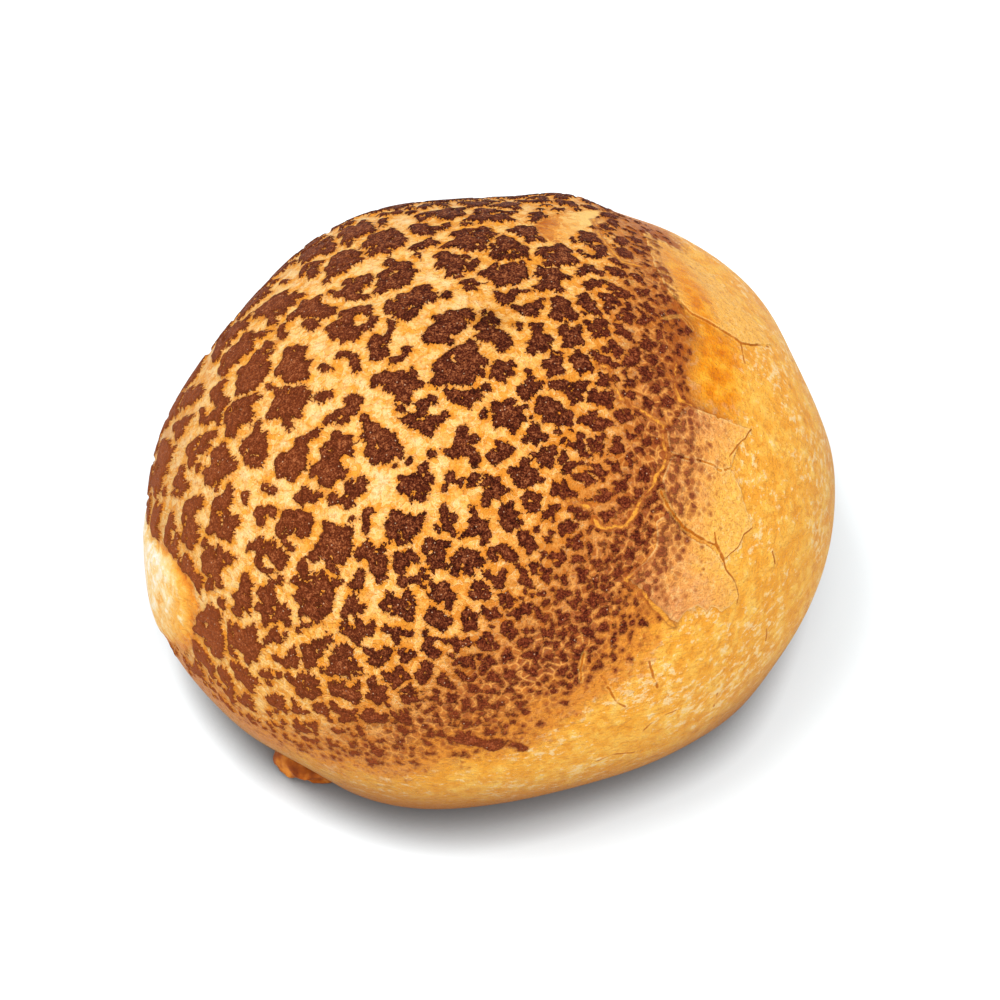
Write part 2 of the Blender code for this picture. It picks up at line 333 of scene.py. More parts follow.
def line_distance(ways, lines):
    """Distance in millimetres over the skin to the nearest of some lines."""
    nearest = np.full(len(ways), 99.0)
    for line in lines:
        corners = [from_bearing(*corner) for corner in line]
        for start, end in zip(corners, corners[1:]):
            along = end - start
            share = np.clip((ways - start) @ along / (along @ along), 0, 1)
            off = np.linalg.norm(ways - start - share[:, None] * along, axis=1)
            nearest = np.minimum(nearest, off * DOUGH_RADIUS)
    return nearest


def patch_distance(ways, outline):
    """Distance in millimetres to a patch's outline, above 0 inside it."""
    corners = np.array([from_bearing(*corner) for corner in outline])
    middle = corners.mean(axis=0)
    middle /= np.linalg.norm(middle)
    east = np.cross([0, 0, 1], middle)
    east /= np.linalg.norm(east)
    north = np.cross(middle, east)
    facing = np.maximum(ways @ middle, 0.05)
    x, y = ways @ east / facing, ways @ north / facing
    cx, cy = corners @ east / (corners @ middle), corners @ north / (corners @ middle)
    inside = np.zeros(len(ways), dtype=bool)
    for k in range(len(corners)):
        x0, y0, x1, y1 = cx[k - 1], cy[k - 1], cx[k], cy[k]
        spans = (y0 > y) != (y1 > y)
        inside ^= spans & (x < (x1 - x0) * (y - y0) / (y1 - y0 + 1e-12) + x0)
    inside &= ways @ middle > 0.3
    away = line_distance(ways, [list(outline) + [outline[0]]])
    return np.where(inside, away, -away)


# ---- The crust's relief -------------------------------------------------------------------------
# The plates stand proud of the dough with steep torn sides, the rope is a smooth round bead, and the
# cracks are narrow grooves with lips that curled up a little as the crust dried.

PLATE_RISE = 0.00045
PLATE_EDGE = 0.00040
ROPE_RISE, ROPE_HALF = 0.00020, 0.40  # metres, millimetres
CRACK_DEPTH, CRACK_HALF = 0.00007, 0.24
LIP_RISE, LIP_HALF = 0.00006, 0.9
FILM_RISE, FILM_EDGE = 0.00022, 0.35
TORN_BULGE, TORN_EDGE = 0.0008, 4
WANDER = ((0.0035, 0.012), (0.0012, 0.005))  # span of a line's waviness in metres, and its size
ROPE_SPAN, ROPE_WAVER = 0.0021, 0.20
SMEAR_HALF, SMEAR_SPAN = 0.9, 0.0023
BARE_STRIP = 0.5  # mm of dough left bare along the rope and inside the amber patch
THIN_UNDER_FILM = 0.0006

# Faces are cut into four within so many mm of a line and over the paste, from so many degrees
# outside its edge, then once more at the cracks.
LINES = FISSURES + ROPES + tuple(film + film[:1] for film in FILMS)
for near_mm, outside in ((3.0, 7), (1.6, 4)):
    ways = ways_of(crust)
    near_line = line_distance(ways, LINES) < near_mm
    split_faces(crust, near_line | (depth_in_paste(ways) > -outside))
ways = ways_of(crust)
split_faces(crust, line_distance(ways, FISSURES) < 0.7)

ways = ways_of(crust)
points = risen_dough(ways)
depth = depth_in_paste(ways)
plate_side, seam, plate_tone = paste_fields(ways, points)
wander = sum(noise_vectors_at(points, span) * size for span, size in WANDER)
rope = line_distance(ways + wander, ROPES) + ROPE_WAVER * np.abs(noise_at(points, ROPE_SPAN))
fissure = line_distance(ways + wander * 0.6, FISSURES)
film = np.max([patch_distance(ways + wander * 0.7, outline) for outline in FILMS], axis=0)
amber = patch_distance(ways + wander, AMBER)
flap = patch_distance(ways + wander, FLAP)
torn = patch_distance(ways + wander * 2, TORN)
for bare_side in (torn, flap, amber - BARE_STRIP, BARE_STRIP - rope):
    plate_side = np.minimum(plate_side, -bare_side / 1000)
plate_side -= np.where(film > 0, np.clip((10 - depth) / 7, 0, 1) * THIN_UNDER_FILM, 0)
smear = SMEAR_HALF + noise_at(points, SMEAR_SPAN) - line_distance(ways + wander, [SMEAR])
plate_side = np.maximum(plate_side, smear / 1000)


def ease(values):
    """Smooth step from 0 to 1."""
    share = np.clip(values, 0, 1)
    return share * share * (3 - 2 * share)


rise = PLATE_RISE * coarseness(ways) ** 0.5 * ease(plate_side / PLATE_EDGE + 0.5)
rise += ROPE_RISE * np.sqrt(np.clip(1 - (rope / ROPE_HALF) ** 2, 0, 1))
rise += LIP_RISE * ease(1 - fissure / LIP_HALF)
rise -= CRACK_DEPTH * ease(1 - fissure / CRACK_HALF)
rise += FILM_RISE * ease(film / FILM_EDGE + 0.5)
rise += TORN_BULGE * ease(torn / TORN_EDGE)
points = points + ways * rise[:, None]
crust.data.vertices.foreach_set("co", points.ravel())

# Strands of dough run across the gaps, from plate to plate. Millimetres round and along a lying
# axis give them a flat map, and each vertex says how much of its strands run in each of 4 ways.
STRAND_WAYS = 4
STRAND_FOCUS = 10
GIRTH_MM = 46.0  # a middling distance from that axis to the skin
lie = np.hypot(points[:, 1], points[:, 2] - BELLY) + 1e-6
turned = np.arctan2(points[:, 1], points[:, 2] - BELLY)
weave = np.stack([points[:, 0] * 1000, turned * GIRTH_MM, np.zeros(len(points))], axis=1)
edge_ends = np.empty(len(crust.data.edges) * 2, dtype=np.int64)
crust.data.edges.foreach_get("vertices", edge_ends)
ends = edge_ends.reshape(-1, 2)
step = points[ends[:, 1]] - points[ends[:, 0]]
climb = (plate_side[ends[:, 1]] - plate_side[ends[:, 0]]) / np.sum(step**2, axis=1)
slope = np.zeros_like(points)
for end in (0, 1):
    for axis in range(3):
        slope[:, axis] += np.bincount(ends[:, end], step[:, axis] * climb, len(points))
round_about = (slope[:, 1] * (points[:, 2] - BELLY) - slope[:, 2] * points[:, 1]) / lie
bearing = np.arctan2(round_about, slope[:, 0])
lain = [bearing - k * math.pi / STRAND_WAYS for k in range(STRAND_WAYS)]
strand_share = np.abs(np.cos(lain)) ** STRAND_FOCUS
for _ in range(2):
    for share in strand_share:
        total = np.bincount(ends[:, 0], share[ends[:, 1]], len(points))
        total += np.bincount(ends[:, 1], share[ends[:, 0]], len(points))
        count = np.bincount(ends.ravel(), minlength=len(points))
        share[:] = (share + total) / (1 + count)
strand_share /= np.sqrt(np.sum(strand_share**2, axis=0))

FIELDS = {
    "plate_side": plate_side * 1000,
    "seam": seam * 1000,
    "plate_tone": plate_tone,
    "depth": depth,
    "coarse": coarseness(ways),
    "rope": rope,
    "fissure": fissure,
    "film": film,
    "amber": amber,
    "flap": flap,
    "torn": torn,
}
FIELDS |= {f"strand_{k}": strand_share[k] for k in range(STRAND_WAYS)}
for name, values in FIELDS.items():
    attribute = crust.data.attributes.new(name, "FLOAT", "POINT")
    attribute.data.foreach_set("value", np.clip(values, -90, 90).astype(np.float32))
attribute = crust.data.attributes.new("weave", "FLOAT_VECTOR", "POINT")
attribute.data.foreach_set("vector", weave.ravel().astype(np.float32))


def press_flat():
    """Cuts the active piece off at the board and closes it there."""
    bpy.ops.object.mode_set(mode="EDIT")
    bpy.ops.mesh.select_all(action="SELECT")
    bpy.ops.mesh.bisect(
        plane_co=(0, 0, 0), plane_no=(0, 0, 1), use_fill=True, clear_inner=True, threshold=1e-6
    )
    bpy.ops.object.mode_set(mode="OBJECT")


# Its box stands where the solid's box stands.
press_flat()
cut = points_of(crust)
cad_low, cad_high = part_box("roll")
middle = (np.array(cad_low) + np.array(cad_high)) / 2
place = Vector((middle[0], middle[1], 0)) - Vector(
    ((cut[:, 0].min() + cut[:, 0].max()) / 2, (cut[:, 1].min() + cut[:, 1].max()) / 2, 0)
)
crust.data.transform(Matrix.Translation(place))
bpy.ops.object.shade_smooth_by_angle(angle=math.radians(75))

# Baked crust of wheat dough under dried rice paste: matt, a little waxy where the starch gelled.


def linear(code):
    """Linear colour of an sRGB hex value."""
    parts = [int(code[k : k + 2], 16) / 255 for k in (1, 3, 5)]
    return tuple(p / 12.92 if p <= 0.04045 else ((p + 0.055) / 1.055) ** 2.4 for p in parts) + (1,)


def add_node(material, kind, joins=None, out=0, stops=(), **settings):
    """Adds a node with its settings, sets or links its inputs, and gives one of its outputs."""
    tree = material.node_tree
    made = tree.nodes.new("ShaderNode" + kind)
    for name, value in settings.items():
        setattr(made, name, value)
    for name, value in (joins or {}).items():
        if isinstance(value, bpy.types.NodeSocket):
            tree.links.new(value, made.inputs[name])
        else:
            made.inputs[name].default_value = value
    for index, (position, code) in enumerate(stops):
        ramp = made.color_ramp.elements
        stop = ramp[index] if index < len(ramp) else ramp.new(position)
        stop.position = position
        stop.color = linear(code)
    return made.outputs[out]


skin = bpy.data.materials.new("baked_crust")
skin.use_nodes = True
skin_shader = skin.node_tree.nodes["Principled BSDF"]
field = {name: add_node(skin, "Attribute", out="Fac", attribute_name=name) for name in FIELDS}
where = add_node(skin, "TexCoord", out="Object")
mm = add_node(skin, "VectorMath", {0: where, "Scale": 1000}, operation="SCALE")
right_mm, back_mm, height_mm = add_node(skin, "SeparateXYZ", {"Vector": mm}).node.outputs

# Noise at the sizes in mm that real crust shows: patches of baking, mottles, flakes, grains, grit.
baking, mottle, tear, grain, grit = (
    add_node(
        skin,
        "TexNoise",
        {"Vector": mm, "Scale": 1 / size, "Detail": detail, "Roughness": roughness},
    )
    for size, detail, roughness in (
        (11, 3, 0.5), (2.8, 4, 0.6), (0.9, 3, 0.7), (0.4, 2, 0.65), (0.3, 2, 0.7)
    )
)

# Crinkled flakes, each with its own shade, their outlines rippled by a slower noise.
FLAKE_MM = 1.2
ripple = add_node(skin, "TexNoise", {"Vector": mm, "Scale": 1 / 1.4, "Detail": 1}, out="Color")
crumpled = add_node(
    skin, "VectorMath", {0: ripple, 1: (2.6, 2.6, 2.6), 2: mm}, operation="MULTIPLY_ADD"
)
flake = add_node(skin, "TexVoronoi", {"Vector": crumpled, "Scale": 1 / FLAKE_MM}, out="Color")
flake = add_node(skin, "SeparateColor", {"Color": flake}, out="Red")
flake_edge = add_node(
    skin, "TexVoronoi", {"Vector": crumpled, "Scale": 1 / FLAKE_MM}, feature="DISTANCE_TO_EDGE"
)

# Strands, 0.5 mm wide and 2 mm long, about -1 to 1.
weave = add_node(skin, "Attribute", out="Vector", attribute_name="weave")
strand = 0.0
for k in range(STRAND_WAYS):
    laid = add_node(
        skin,
        "Mapping",
        {"Vector": weave, "Rotation": (0, 0, k * math.pi / STRAND_WAYS), "Scale": (4.0, 1, 1)},
        vector_type="TEXTURE",
    )
    laid = add_node(
        skin,
        "TexNoise",
        {"Vector": laid, "Scale": 1 / 0.55, "Detail": 2, "Roughness": 0.6},
        noise_dimensions="2D",
        normalize=False,
    )
    share = field[f"strand_{k}"]
    strand = add_node(skin, "Math", {0: laid, 1: share, 2: strand}, operation="MULTIPLY_ADD")

# The plates' edge: the distance field, frayed along the strands.
fray = add_node(skin, "Math", {0: strand, 1: 0.26, 2: -0.60}, operation="MULTIPLY_ADD")
fray = add_node(skin, "Math", {0: grain, 1: 0.7, 2: fray}, operation="MULTIPLY_ADD")
fray = add_node(skin, "Math", {0: tear, 1: 0.5, 2: fray}, operation="MULTIPLY_ADD")
fray_size = add_node(
    skin, "MapRange", {"Value": field["coarse"], "From Min": 0.1, "From Max": 0.6, "To Min": 0.55}
)
frayed = add_node(
    skin, "Math", {0: fray, 1: fray_size, 2: field["plate_side"]}, operation="MULTIPLY_ADD"
)
proud = add_node(
    skin,
    "MapRange",
    {"Value": frayed, "From Min": -0.04, "From Max": 0.06},
    interpolation_type="SMOOTHSTEP",
)

# Dots of paste too small to stand proud, on the thin skin along the paste's edge. None stand where
# the paste is whole, nor on the torn side and the amber patch.
DOT_MM = 1.35
dot = add_node(skin, "TexVoronoi", {"Vector": mm, "Scale": 1 / DOT_MM}, out="Distance")
dot_luck = add_node(skin, "SeparateColor", {"Color": dot.node.outputs["Color"]}, out="Red")
dot_room = add_node(
    skin,
    "MapRange",
    {"Value": field["depth"], "From Min": -5, "From Max": 9, "To Min": -0.5, "To Max": 0.42},
)
dot_room = add_node(skin, "Math", {0: dot_luck, 1: 0.5, 2: dot_room}, operation="MULTIPLY_ADD")
dot_room = add_node(skin, "Math", {0: dot_room, 1: 0.25}, operation="SUBTRACT")
dot_side = add_node(skin, "Math", {0: dot_room, 1: dot}, operation="SUBTRACT")
dot_side = add_node(skin, "Math", {0: fray, 1: 0.3, 2: dot_side}, operation="MULTIPLY_ADD")
for name, start, end in (("depth", 9, 15), ("torn", -1, 0), ("amber", -1, 1)):
    dot_lost = add_node(
        skin, "MapRange", {"Value": field[name], "From Min": start, "From Max": end, "To Max": -2}
    )
    dot_side = add_node(skin, "Math", {0: dot_side, 1: dot_lost}, operation="ADD")
frayed = add_node(skin, "Math", {0: frayed, 1: dot_side}, operation="MAXIMUM")

# How far on a plate, beside one, or out in a wide street between them.
soft_edge = add_node(
    skin,
    "MapRange",
    {"Value": field["coarse"], "From Min": 0.12, "From Max": 0.4, "To Min": 0.15, "To Max": 0.05},
)
on_plate = add_node(
    skin,
    "MapRange",
    {"Value": frayed, "From Min": -0.04, "From Max": soft_edge},
    interpolation_type="SMOOTHSTEP",
)
by_plate = add_node(
    skin,
    "MapRange",
    {"Value": frayed, "From Min": -0.45, "From Max": 0.0},
    interpolation_type="SMOOTHSTEP",
)
in_street = add_node(
    skin,
    "MapRange",
    {"Value": field["plate_side"], "From Min": -0.4, "From Max": -1.5},
    interpolation_type="SMOOTHSTEP",
)

# Dough bared between the plates: gold where they tore far apart, brown where the paste is fine.
patchy = add_node(skin, "Math", {0: baking, 1: 0.5, 2: -0.25}, operation="MULTIPLY_ADD")
patchy = add_node(skin, "Math", {0: patchy, 1: field["coarse"]}, operation="ADD")
ground = add_node(
    skin,
    "ValToRGB",
    {"Fac": patchy},
    stops=((0.0, "#a8571c"), (0.14, "#b46320"), (0.32, "#d6852c"), (0.6, "#e99a34"),
           (1.0, "#eda23a")),
)
pale = add_node(
    skin,
    "ValToRGB",
    {"Fac": patchy},
    stops=((0.0, "#e6964a"), (0.14, "#eda34e"), (0.32, "#f3b157"), (0.6, "#f5b95e"),
           (1.0, "#f6c270")),
)
lightness = add_node(skin, "Math", {0: flake, 1: 0.48}, operation="MULTIPLY")
lightness = add_node(skin, "Math", {0: mottle, 1: 1.1, 2: lightness}, operation="MULTIPLY_ADD")
lightness = add_node(skin, "Math", {0: strand, 1: 0.22, 2: lightness}, operation="MULTIPLY_ADD")
lightness = add_node(
    skin,
    "MapRange",
    {"Value": lightness, "From Min": 0.50, "From Max": 1.02},
    interpolation_type="SMOOTHSTEP",
)
dough = add_node(skin, "Mix", {0: lightness, 6: ground, 7: pale}, out=2, data_type="RGBA")
# Painted light and shade along the flakes' crinkled edges: a pale highlight on pale flakes, orange
# crease shade on dark ones.
crinkle_highlight_and_shade = add_node(
    skin, "MapRange", {"Value": flake_edge, "From Min": 0.10, "From Max": 0.0, "To Max": 0.6}
)
crinkle_highlight_and_shade_tint = add_node(skin, "MapRange", {"Value": flake, "From Min": 0.42, "From Max": 0.52})
crinkle_highlight_and_shade_tint = add_node(
    skin,
    "Mix",
    {0: crinkle_highlight_and_shade_tint, 6: linear("#d67c24"), 7: linear("#f9dca4")},
    out=2,
    data_type="RGBA",
)
dough = add_node(skin, "Mix", {0: crinkle_highlight_and_shade, 6: dough, 7: crinkle_highlight_and_shade_tint}, out=2, data_type="RGBA")
cream_share = add_node(
    skin, "MapRange", {"Value": mottle, "From Min": 0.42, "From Max": 0.64, "To Max": 0.65}
)
cream_share = add_node(skin, "Math", {0: in_street, 1: cream_share}, operation="MULTIPLY")
dough = add_node(
    skin, "Mix", {0: cream_share, 6: dough, 7: linear("#f9dba6")}, out=2, data_type="RGBA"
)
furrow = add_node(
    skin, "MapRange", {"Value": strand, "From Min": -0.25, "From Max": -0.45, "To Max": 0.4}
)
dough = add_node(skin, "Mix", {0: furrow, 6: dough, 7: linear("#dc8422")}, out=2, data_type="RGBA")

# Where the paste is fine it stained the dough in cells too, reddish brown with pale lines between.
cell_room = add_node(
    skin, "MapRange", {"Value": field["coarse"], "From Min": 0.37, "From Max": 0.13, "To Max": 0.86}
)
by_edge = add_node(skin, "MapRange", {"Value": field["depth"], "From Min": 30, "From Max": 17})
by_edge = add_node(skin, "MapRange", {"Value": by_edge, "To Min": 0.45, "To Max": 1.0})
cell_room = add_node(skin, "Math", {0: cell_room, 1: by_edge}, operation="MULTIPLY")
cell_tint = add_node(
    skin, "ValToRGB", {"Fac": dot_luck}, stops=((0.0, "#7c3519"), (0.5, "#9c4d24"), (1.0, "#c07032"))
)
dough = add_node(skin, "Mix", {0: cell_room, 6: dough, 7: cell_tint}, out=2, data_type="RGBA")
net = add_node(
    skin, "TexVoronoi", {"Vector": mm, "Scale": 1 / DOT_MM}, feature="DISTANCE_TO_EDGE"
)
net = add_node(skin, "MapRange", {"Value": net, "From Min": 0.14, "From Max": 0.03})
net = add_node(skin, "Math", {0: net, 1: cell_room}, operation="MULTIPLY")
dough = add_node(skin, "Mix", {0: net, 6: dough, 7: linear("#f0a552")}, out=2, data_type="RGBA")

# Bare skin beyond the paste: gold, mottled, with pale blisters drawn out along the girth.
round_way = add_node(skin, "VectorMath", {0: mm, 1: (1, 1, 0)}, operation="MULTIPLY")
round_way = add_node(skin, "VectorMath", {0: round_way}, operation="NORMALIZE")
drawn_out = add_node(
    skin, "VectorMath", {0: round_way, 1: (18, 18, 18), 2: mm}, operation="MULTIPLY_ADD"
)
drawn_out = add_node(skin, "VectorMath", {0: drawn_out, 1: (0.5, 0.5, 1.0)}, operation="MULTIPLY")
blister = add_node(
    skin, "TexNoise", {"Vector": drawn_out, "Scale": 1 / 1.0, "Detail": 4, "Roughness": 0.68}
)
skin_tint = add_node(
    skin,
    "ValToRGB",
    {"Fac": mottle},
    stops=((0.30, "#ee9e30"), (0.45, "#f7ac3c"), (0.58, "#fdbd4e"), (0.72, "#fecb66")),
)
flake_dark = add_node(
    skin, "MapRange", {"Value": flake, "From Min": 0.6, "From Max": 0.0, "To Max": 0.45}
)
skin_tint = add_node(
    skin, "Mix", {0: flake_dark, 6: skin_tint, 7: linear("#e6922a")}, out=2, data_type="RGBA"
)
fleck = add_node(skin, "Math", {0: baking, 1: 0.45, 2: blister}, operation="MULTIPLY_ADD")
fleck = add_node(skin, "Math", {0: flake, 1: 0.05, 2: fleck}, operation="MULTIPLY_ADD")
blister_share = add_node(
    skin,
    "MapRange",
    {"Value": fleck, "From Min": 0.80, "From Max": 0.90, "To Max": 0.75},
    interpolation_type="SMOOTHSTEP",
)
skin_tint = add_node(
    skin, "Mix", {0: blister_share, 6: skin_tint, 7: linear("#fedda2")}, out=2, data_type="RGBA"
)
# Darker orange where the blister relief is low.
low_blister_share = add_node(
    skin,
    "MapRange",
    {"Value": blister, "From Min": 0.45, "From Max": 0.36, "To Max": 0.5},
    interpolation_type="SMOOTHSTEP",
)
skin_tint = add_node(
    skin, "Mix", {0: low_blister_share, 6: skin_tint, 7: linear("#d9872a")}, out=2, data_type="RGBA"
)

# Films of dried paste on it, more apricot towards the rope, with dark and pale specks.
film_tint = add_node(skin, "MapRange", {"Value": field["rope"], "From Min": 14, "From Max": 1})
in_front = add_node(skin, "MapRange", {"Value": back_mm, "From Min": 12, "From Max": 4})
film_tint = add_node(skin, "Math", {0: film_tint, 1: in_front}, operation="MULTIPLY")
film_tint = add_node(skin, "Math", {0: mottle, 1: 0.9, 2: film_tint}, operation="MULTIPLY_ADD")
film_tint = add_node(skin, "Math", {0: film_tint, 1: 0.45}, operation="SUBTRACT")
film_tint = add_node(
    skin,
    "ValToRGB",
    {"Fac": film_tint},
    stops=((0.2, "#fdbc54"), (0.55, "#f7ac58"), (0.95, "#e2965c")),
)
for specks, start, end, most, code in (
    (tear, 0.54, 0.66, 0.5, "#c0703c"),
    (tear, 0.46, 0.36, 0.6, "#fccf86"),
    (grit, 0.52, 0.68, 0.5, "#b8682e"),
):
    speck = add_node(
        skin, "MapRange", {"Value": specks, "From Min": start, "From Max": end, "To Max": most}
    )
    film_tint = add_node(
        skin, "Mix", {0: speck, 6: film_tint, 7: linear(code)}, out=2, data_type="RGBA"
    )
film_share = add_node(
    skin, "MapRange", {"Value": field["film"], "From Min": -0.05, "From Max": 0.08, "To Max": 0.85}
)
skin_tint = add_node(
    skin, "Mix", {0: film_share, 6: skin_tint, 7: film_tint}, out=2, data_type="RGBA"
)

# The foot darker towards the board and in creases that lie along it: partly browning on the tray,
# partly painted shade.
foot = add_node(
    skin,
    "MapRange",
    {"Value": height_mm, "From Min": 28, "From Max": 9, "To Max": 0.95},
    interpolation_type="SMOOTHSTEP",
)
skin_tint = add_node(
    skin, "Mix", {0: foot, 6: skin_tint, 7: linear("#a8601c")}, out=2, data_type="RGBA"
)
# Creases of the foot drawn darker: partly browning, partly painted shade.
lying = add_node(skin, "VectorMath", {0: mm, 1: (0.28, 0.28, 1.0)}, operation="MULTIPLY")
crease = add_node(skin, "TexNoise", {"Vector": lying, "Scale": 1 / 4.0, "Detail": 2})
crease = add_node(skin, "Math", {0: crease, 1: 0.5}, operation="SUBTRACT")
crease = add_node(skin, "Math", {0: crease}, operation="ABSOLUTE")
crease = add_node(skin, "MapRange", {"Value": crease, "From Min": 0.014, "From Max": 0.002})
crease = add_node(skin, "Math", {0: crease, 1: foot}, operation="MULTIPLY")
skin_tint = add_node(
    skin, "Mix", {0: crease, 6: skin_tint, 7: linear("#a5611c")}, out=2, data_type="RGBA"
)

# A patch of deep amber where the crust was thinnest.
amber_share = add_node(
    skin,
    "MapRange",
    {"Value": field["amber"], "From Min": -1.5, "From Max": 3.5, "To Max": 0.95},
    interpolation_type="SMOOTHSTEP",
)
amber_tint = add_node(
    skin,
    "ValToRGB",
    {"Fac": mottle},
    stops=((0.34, "#d06c04"), (0.50, "#ec8e0c"), (0.64, "#f9ac2c")),
)
skin_tint = add_node(
    skin, "Mix", {0: amber_share, 6: skin_tint, 7: amber_tint}, out=2, data_type="RGBA"
)

# A brown wash of paste along its ragged edge, and the dough between the plates inside that.
edge_depth = add_node(
    skin, "Math", {0: baking, 1: 14, 2: field["depth"]}, operation="MULTIPLY_ADD"
)
edge_depth = add_node(skin, "Math", {0: flake, 1: 5, 2: edge_depth}, operation="MULTIPLY_ADD")
brown_share = add_node(
    skin,
    "MapRange",
    {"Value": edge_depth, "From Min": 6, "From Max": 13, "To Max": 0.92},
    interpolation_type="SMOOTHSTEP",
)
film_bare = add_node(skin, "Math", {0: 1.0, 1: film_share}, operation="SUBTRACT")
brown_share = add_node(skin, "Math", {0: brown_share, 1: film_bare}, operation="MULTIPLY")
amber_bare = add_node(skin, "Math", {0: 1.0, 1: amber_share}, operation="SUBTRACT")
brown_share = add_node(skin, "Math", {0: brown_share, 1: amber_bare}, operation="MULTIPLY")
by_amber = add_node(skin, "MapRange", {"Value": field["amber"], "From Min": -10, "From Max": -2})
brown_tint = add_node(
    skin, "Mix", {0: by_amber, 6: linear("#dc8830"), 7: linear("#9e480c")}, out=2, data_type="RGBA"
)
speck = add_node(
    skin, "MapRange", {"Value": tear, "From Min": 0.50, "From Max": 0.64, "To Max": 0.8}
)
brown_tint = add_node(
    skin, "Mix", {0: speck, 6: brown_tint, 7: linear("#a85018")}, out=2, data_type="RGBA"
)
skin_tint = add_node(
    skin, "Mix", {0: brown_share, 6: skin_tint, 7: brown_tint}, out=2, data_type="RGBA"
)
in_paste = add_node(
    skin,
    "MapRange",
    {"Value": edge_depth, "From Min": 14, "From Max": 26},
    interpolation_type="SMOOTHSTEP",
)
in_paste = add_node(skin, "Math", {0: in_paste, 1: amber_bare}, operation="MULTIPLY")
dough = add_node(skin, "Mix", {0: in_paste, 6: skin_tint, 7: dough}, out=2, data_type="RGBA")

# The films' edge: a pale lip inside it, a painted highlight, and a brown line along it, the step's
# painted shadow.
painted_film_highlight = add_node(
    skin, "MapRange", {"Value": field["film"], "From Min": 0.45, "From Max": 0.12, "To Max": 0.6}
)
painted_film_highlight = add_node(skin, "Math", {0: painted_film_highlight, 1: film_share}, operation="MULTIPLY")
dough = add_node(
    skin, "Mix", {0: painted_film_highlight, 6: dough, 7: linear("#fed68c")}, out=2, data_type="RGBA"
)
painted_film_shadow = add_node(skin, "Math", {0: field["film"]}, operation="ABSOLUTE")
painted_film_shadow = add_node(
    skin, "MapRange", {"Value": painted_film_shadow, "From Min": 0.13, "From Max": 0.03, "To Max": 0.6}
)
dough = add_node(
    skin, "Mix", {0: painted_film_shadow, 6: dough, 7: linear("#c8761c")}, out=2, data_type="RGBA"
)

# Torn side, where the roll parted from its neighbour: cream crumb through yellow to an orange rim.
torn_rim = add_node(skin, "MapRange", {"Value": field["torn"], "From Min": -0.8, "From Max": 1.8})
torn_tone = add_node(
    skin,
    "MapRange",
    {"Value": right_mm, "From Min": -43, "From Max": -55, "To Min": 0.30, "To Max": 0.95},
)
# Whiter towards the top: partly paler crumb, partly a painted highlight.
torn_top_crumb_and_highlight = add_node(
    skin,
    "MapRange",
    {"Value": height_mm, "From Min": 17, "From Max": 34, "To Min": -0.35, "To Max": 0.05},
)
torn_tone = add_node(skin, "Math", {0: torn_tone, 1: torn_top_crumb_and_highlight}, operation="ADD")
torn_tone = add_node(skin, "Math", {0: torn_tone, 1: torn_rim}, operation="MULTIPLY")
torn_streaks = add_node(skin, "Math", {0: flake, 1: 0.22, 2: torn_tone}, operation="MULTIPLY_ADD")
torn_streaks = add_node(skin, "Math", {0: mottle, 1: 0.9, 2: torn_streaks}, operation="MULTIPLY_ADD")
torn_streaks = add_node(skin, "Math", {0: torn_streaks, 1: 0.62}, operation="SUBTRACT")
torn_tint = add_node(
    skin,
    "ValToRGB",
    {"Fac": torn_streaks},
    stops=((0.0, "#c8641a"), (0.28, "#ec922a"), (0.55, "#f6b24a"), (0.78, "#fbd896"),
           (1.0, "#fdf3e4")),
)
torn_cover = add_node(skin, "MapRange", {"Value": field["torn"], "From Min": -0.6, "From Max": 0.8})
dough = add_node(skin, "Mix", {0: torn_cover, 6: dough, 7: torn_tint}, out=2, data_type="RGBA")

# The flap at the top, a lip of bare dough, from brown at its left to pale gold.
flap_cover = add_node(skin, "MapRange", {"Value": field["flap"], "From Min": -0.3, "From Max": 0.4})
flap_side = add_node(skin, "SeparateXYZ", {"Vector": crumpled}, out="X")
flap_side = add_node(skin, "MapRange", {"Value": flap_side, "From Min": 7, "From Max": 18})
flap_side = add_node(skin, "Math", {0: flake, 1: 0.35, 2: flap_side}, operation="MULTIPLY_ADD")
flap_tint = add_node(
    skin,
    "ValToRGB",
    {"Fac": flap_side},
    stops=((0.3, "#b8621e"), (0.65, "#eb9c3c"), (1.0, "#fbcb74")),
)
dough = add_node(skin, "Mix", {0: flap_cover, 6: dough, 7: flap_tint}, out=2, data_type="RGBA")

# Orange rim round each plate, partly a stain and partly painted shade at the plate's foot, then the
# plate: a nearly black edge and a brown middle.
rim_stain_and_shade = add_node(skin, "Math", {0: by_plate, 1: 0.65}, operation="MULTIPLY")
rim_stain_and_shade_tint = add_node(
    skin, "Mix", {0: cell_room, 6: linear("#cd7220"), 7: linear("#8e4220")}, out=2, data_type="RGBA"
)
colour = add_node(skin, "Mix", {0: rim_stain_and_shade, 6: dough, 7: rim_stain_and_shade_tint}, out=2, data_type="RGBA")
plate_middle = add_node(
    skin, "MapRange", {"Value": frayed, "From Min": 0.10, "From Max": 1.0, "To Max": 0.24}
)
plate_shade = add_node(skin, "Math", {0: tear, 1: 1.3, 2: plate_middle}, operation="MULTIPLY_ADD")
plate_shade = add_node(skin, "Math", {0: grit, 1: 2.2, 2: plate_shade}, operation="MULTIPLY_ADD")
plate_shade = add_node(
    skin, "MapRange", {"Value": plate_shade, "From Min": 1.30, "From Max": 2.40}
)
plate_tint = add_node(
    skin,
    "ValToRGB",
    {"Fac": plate_shade},
    stops=((0.0, "#1c0602"), (0.35, "#401508"), (0.65, "#652c16"), (1.0, "#ac683e")),
)
fine_tint = add_node(
    skin,
    "ValToRGB",
    {"Fac": plate_shade},
    stops=((0.0, "#2e0a05"), (0.4, "#5c210f"), (0.7, "#843b1e"), (1.0, "#ac5e38")),
)
coarse_plate = add_node(
    skin, "MapRange", {"Value": field["coarse"], "From Min": 0.10, "From Max": 0.45}
)
plate_tint = add_node(
    skin, "Mix", {0: coarse_plate, 6: fine_tint, 7: plate_tint}, out=2, data_type="RGBA"
)
